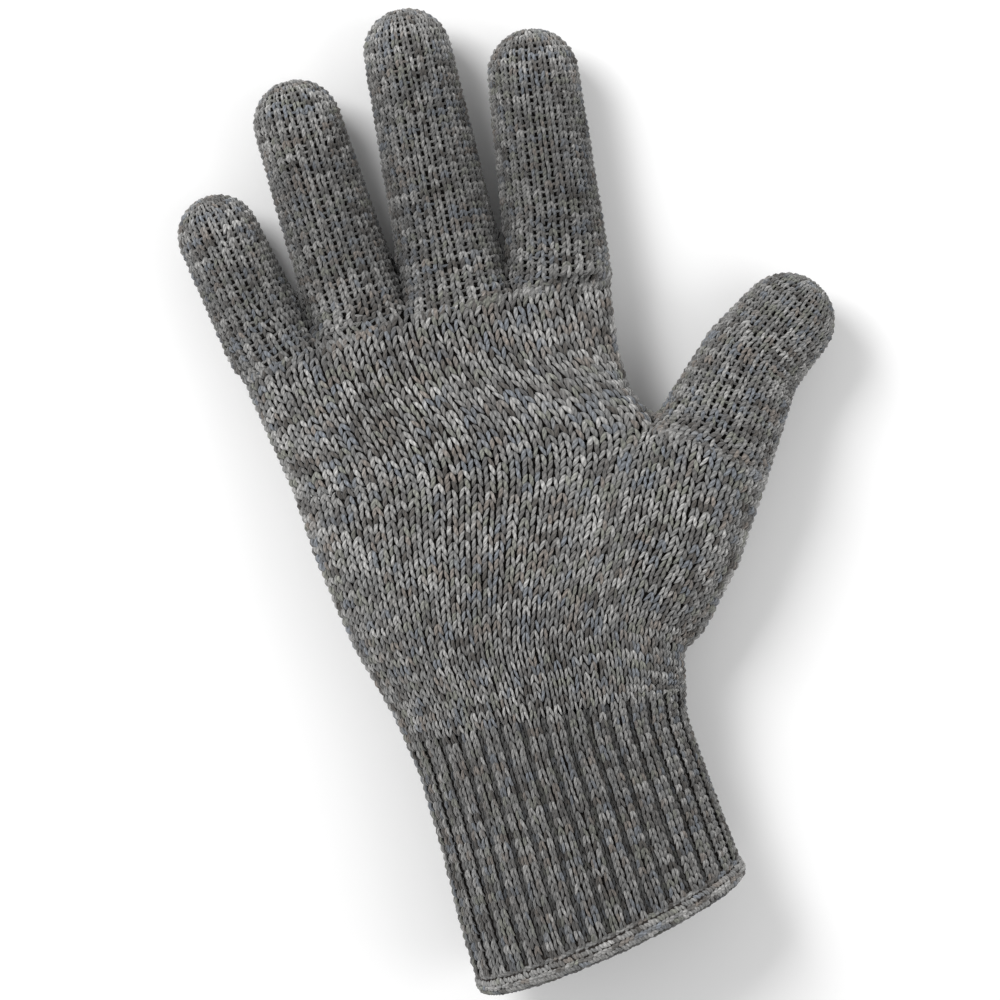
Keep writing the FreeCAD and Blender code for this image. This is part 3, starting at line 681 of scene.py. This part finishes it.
wrist = cloth(
    "knit_wrist",
    [
        (cuff_grid, rows_between(cuff_grid, -0.084, 1), RIBBED, "rib"),
        (palm_grid, rows_between(palm_grid, -1, -0.050), PLAIN, "plain"),
    ],
    11,
)
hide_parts("wrist_band")
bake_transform(wrist)
heel = cloth("knit_heel", [(palm_grid, rows_between(palm_grid, -0.050, -0.020), PLAIN, "plain")], 12)
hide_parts("five_finger_body")
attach(heel, "hand")
palm = cloth(
    "knit_palm",
    [
        (palm_grid, rows_between(palm_grid, -0.020, 1), PLAIN, "plain"),
        (back_grid, rows_between(back_grid, -1, 0.024), PLAIN, "plain"),
    ],
    14,
)
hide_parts("four_finger_body")
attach(palm, "hand")
cuff = cloth("knit_rib_cuff", [(cuff_grid, rows_between(cuff_grid, -1, -0.084), RIBBED, "rib")], 13)
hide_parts("rib_cuff")
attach(cuff, "cuff")
knuckle = cloth("knit_knuckles", [(back_grid, rows_between(back_grid, 0.024, 1), PLAIN, "plain")], 15)
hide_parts("knuckle_band", "finger_root_band")
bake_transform(knuckle)

# ===================================================================================================== the digits
# Each is a tube knitted round its own axis; its wales stand apart, with the yarn between them showing as rungs.
DIGIT_COURSE = 1.85 * MM


def digit_rings(line, radius, wales, root, end):
    """Rings of stitches along a digit's centre line, a function of the distance from its root, and over its tip."""
    P, inside, run = [], [], []
    dome = end - radius(end)
    count = int(round((dome - root) / DIGIT_COURSE))
    steps = [(root + (dome - root) * k / count, 0.0) for k in range(count + 1)]
    turn = DIGIT_COURSE / radius(end)
    steps += [(dome, turn * k) for k in range(1, int(math.radians(84) / turn) + 1)] + [(dome, math.radians(89))]
    for s, angle in steps:
        centre, axis = line(s)
        side = np.cross(axis, (0, 0, 1))
        side /= np.linalg.norm(side)
        up = np.cross(side, axis)
        spread = side * 0.2 * MM * (1 if angle == 0 else 0.1)
        room = 1.12 if s > 0 else 1.2
        points, flags, half = section([centre - spread, centre + spread], up, radius(s) * room, (axis, angle))
        xyz, hidden = placed(points, flags, halves(points, half, wales))
        P.append(xyz), inside.append(hidden)
        run.append(s + radius(end) * math.sin(angle))
    return grid_of(P, inside), np.array(run)


TIP_PAINTED_LIGHT, MIDDLE_STRETCH_AND_SHADE = 1.14, 0.66  # painted light and shade: the middles of the fingers are darker, partly as the stretched fabric between the knuckles shows more of its dark inside and partly as painted shade; the tips are painted lighter where they turn up to the light


def along(run, low, high):
    return [k for k in range(len(run) - 1) if low <= run[k] < high]


# each finger: root's x, y, z; lean; length; radius at the root and at the tip; first and second section; wales; and
# where along it the rings start
FINGERS = {
    "index": ((28.4, 61.5, 13.5), 4.6, 59.6, (13.2, 11.7), 20, 20, 26, -10.4),
    "middle": ((0.3, 63, 13.8), 0.4, 70.2, (13.5, 11.3), 23.5, 24, 26, -11.2),
    "ring": ((-27.2, 61, 12.9), -5.6, 60, (12.6, 11.3), 20.5, 20.5, 24, -11),
    "little": ((-52.4, 57.7, 11.5), -13.2, 38.2, (11.2, 10.5), 13.2, 13, 22, -11),
}
for number, (name, sizes) in enumerate(FINGERS.items()):
    root, lean, length, (wide, narrow), first, second, wales, start = sizes
    root, lean = np.array(root) * MM, math.radians(lean)
    fall = (wide - narrow) / (length - narrow)
    axis = np.array([math.sin(lean), math.cos(lean), -fall])
    axis /= np.linalg.norm(axis)
    size = lambda s: (wide - fall * min(s / MM, length - narrow)) * MM
    grid, run = digit_rings(lambda s: (root + axis * s, axis), size, wales, start * MM, length * MM)
    # the tone along each finger: painted shade from the root to the middle, painted light at the tip
    tone_at, tones = [-10, -1, 8, length - 24, length - 7], [1, 0.88, MIDDLE_STRETCH_AND_SHADE, MIDDLE_STRETCH_AND_SHADE, TIP_PAINTED_LIGHT]
    grid["tone_and_painted_light"] = np.interp(run / MM, tone_at, tones)
    cut1, cut2 = first / 2 * MM, (first + second / 2) * MM
    joint3 = (first + second) * MM
    spans = [
        ("root", "finger_roots", f"{name}_first", -1, cut1, -4.5 * MM, cut1 - 0.3 * MM, ["band_1"]),
        ("first", f"{name}_first", f"{name}_second", cut1, cut2, cut1 + 0.3 * MM, cut2 - 0.3 * MM, ["base", "band_2"]),
        (
            "end",
            f"{name}_second",
            f"{name}_end",
            cut2,
            1,
            cut2 + 0.3 * MM,
            2 * joint3 - cut2,
            ["middle", "band_3", "tip"],
        ),
    ]
    for step, (part, low_body, high_body, low, high, begin, finish, nodes) in enumerate(spans):
        made = cloth(f"knit_{name}_{part}", [(grid, along(run, low, high), OPENED, "open")], 20 + 3 * number + step)
        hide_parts(*[f"{name}_{n}" for n in nodes])
        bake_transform(made)

# the thumb leans out at 37 degrees and turns further out past its middle
THUMB_ROOT, THUMB_LEAN, THUMB_DROOP = np.array([57.6, 2, 16.9]) * MM, 37, 6
THUMB_FIRST, THUMB_LAST, THUMB_TURN = 25 * MM, 27.5 * MM, 16
THUMB_WALES, THUMB_START = 30, -2.4 * MM


def slanted_axis(lean):
    lean, droop = math.radians(lean), math.radians(THUMB_DROOP)
    return np.array([math.sin(lean) * math.cos(droop), math.cos(lean) * math.cos(droop), -math.sin(droop)])


def thumb_line(s):
    bent = smooth((s - THUMB_FIRST + 7 * MM) / (14 * MM))
    low, high = slanted_axis(THUMB_LEAN), slanted_axis(THUMB_LEAN + THUMB_TURN)
    centre = THUMB_ROOT + low * min(s, THUMB_FIRST) + high * max(s - THUMB_FIRST, 0)
    axis = low * (1 - bent) + high * bent
    return centre, axis / np.linalg.norm(axis)


def thumb_radius(s):
    return np.interp(s, [-0.01, THUMB_FIRST, THUMB_FIRST + THUMB_LAST], [17.7 * MM, 13.3 * MM, 12.4 * MM])


grid, run = digit_rings(thumb_line, thumb_radius, THUMB_WALES, THUMB_START, THUMB_FIRST + THUMB_LAST)
cut = THUMB_FIRST / 2 + 1 * MM
thumb = cloth("knit_thumb_root", [(grid, along(run, -1, cut), OPENED, "open")], 41)
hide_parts("thumb_band_1")
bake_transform(thumb)
thumb = cloth("knit_thumb_end", [(grid, along(run, cut, 1), OPENED, "open")], 42)
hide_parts("thumb_base", "thumb_band_2", "thumb_tip")
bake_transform(thumb)

# ======================================================================================================== the hem
# A dark sheet of painted shade under the cuff's first course, four rows of pale overlock yarn round the edge, two
# turns over the rim and two rows inside, these last four in painted shade.
HEM_TURNS, HEM_WIDE, HEM_LONG = 150, 2.2 * MM, 1.55 * MM
# how far each row lies from the hem's line and how far inside the fabric's face, in mm
HEM_ROWS = [
    (2, 1.2),
    (-0.3, 0),
    (-1.8, -0.4),
    (-3.3, -0.4),
    (-4.7, 0),
    (-5.7, 1),
    (-5.7, 2.2),
    (-3.6, 2.8),
    (-1.8, 2.9),
]
HEM_SLANT = [0, 35, 145, 35, 145, 5, 5, 40, 140]
# the pale yarn's own tone in the four rows round the edge, a little darker in the first and last; painted shade in the
# two turns over the rim and the two rows inside
HEM_TONE_AND_SHADE = [0, 0.85, 1.1, 1.15, 0.9, 0.42, 0.36, 0.45, 0.45]
P, inside = [], []
for depth, inward in HEM_ROWS:
    middle = hem_origin + np.array(hem_frame.col[1][:3]) * depth * MM
    points, flags, half = section([middle - hem_across * 20 * MM, middle + hem_across * 20 * MM], hem_up)
    xyz, hidden = placed(points, flags, halves(points, half, HEM_TURNS))
    centre = xyz.mean(axis=0)
    round_ = np.roll(xyz, -1, axis=0) - np.roll(xyz, 1, axis=0)
    outward = np.cross(round_, np.array(hem_frame.col[1][:3]))
    outward /= np.linalg.norm(outward, axis=1, keepdims=True)
    if ((xyz - centre) * outward).sum() < 0:
        outward = -outward
    P.append(xyz - outward * inward * MM), inside.append(hidden)
hem_grid = grid_of(P, inside)
rng = np.random.default_rng(51)
t, s, n = hem_grid["frames"][:3]
legs = []
for k in range(1, len(HEM_ROWS)):
    colours = marled(HEM_TURNS, rng)
    slant = math.radians(HEM_SLANT[k])
    for i in range(HEM_TURNS):
        lean = slant + rng.normal(0, 0.12)
        lay = t[k, i] * math.sin(lean) + s[k, i] * math.cos(lean)
        place, across = hem_grid["P"][k, i], np.cross(lay, n[k, i])
        legs.append((k, i, 1, HEM_WIDE, HEM_LONG, False, place, lay, across, n[k, i], colours[i] * HEM_TONE_AND_SHADE[k]))
HEM_YARN = {
    "yarn": 0.28, "foot": 0.0, "head": 0.0, "reach": 0.85,
    "arch": 0.5, "sink": 0.0, "rung": 0.4, "rung_sink": 0.4,
}
parts = [leg_mesh(legs, rng, HEM_YARN)]
hem = piece("hem_overlock", parts, [ground_mesh(hem_grid["P"], n, range(len(HEM_ROWS)), 0.3 * MM, 0.3 * MM)])
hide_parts("cuff_overlock_edge")
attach(hem, "cuff")
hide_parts("cuff_elastic_threads")

# ------------------------------------------------------------------------------------------- floor, light and camera
bpy.ops.mesh.primitive_plane_add(size=6, location=(0, 0, -0.004))
floor = bpy.context.object
floor.name = "floor"
paper = bpy.data.materials.new("paper")
paper.use_nodes = True
paper.node_tree.nodes["Principled BSDF"].inputs["Base Color"].default_value = (0.93, 0.93, 0.93, 1)
paper.node_tree.nodes["Principled BSDF"].inputs["Roughness"].default_value = 0.9
floor.data.materials.append(paper)
bpy.data.objects.remove(form)

world = bpy.data.worlds.new("studio")
bpy.context.scene.world = world
world.use_nodes = True
world.node_tree.nodes["Background"].inputs["Color"].default_value = (1, 1, 1, 1)
world.node_tree.nodes["Background"].inputs["Strength"].default_value = 0.6


def lamp(name, place, size, power):
    bpy.ops.object.light_add(type="AREA", location=place)
    made = bpy.context.object
    made.name = name
    made.data.size = size
    made.data.energy = power
    made.rotation_euler = (-Vector(place)).to_track_quat("-Z", "Y").to_euler()
    return made


lamp("key", (-0.55, 0.75, 1.1), 0.6, 14)
lamp("fill", (0.9, -0.3, 0.9), 0.9, 4)

CAMERA_HEIGHT = 1.5
bpy.ops.object.camera_add(location=(0, 0, CAMERA_HEIGHT), rotation=(0, 0, math.radians(-12)))
camera = bpy.context.object
camera.data.sensor_width = 36
camera.data.lens = 36 * (CAMERA_HEIGHT - 0.02) / 0.265
camera.data.clip_end = 10
bpy.context.scene.camera = camera
bpy.context.scene.view_settings.view_transform = "Standard"

# the size of the imported part
low, high = np.full(3, 9.0), np.full(3, -9.0)
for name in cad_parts:
    a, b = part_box(name)
    low, high = np.minimum(low, a), np.maximum(high, b)
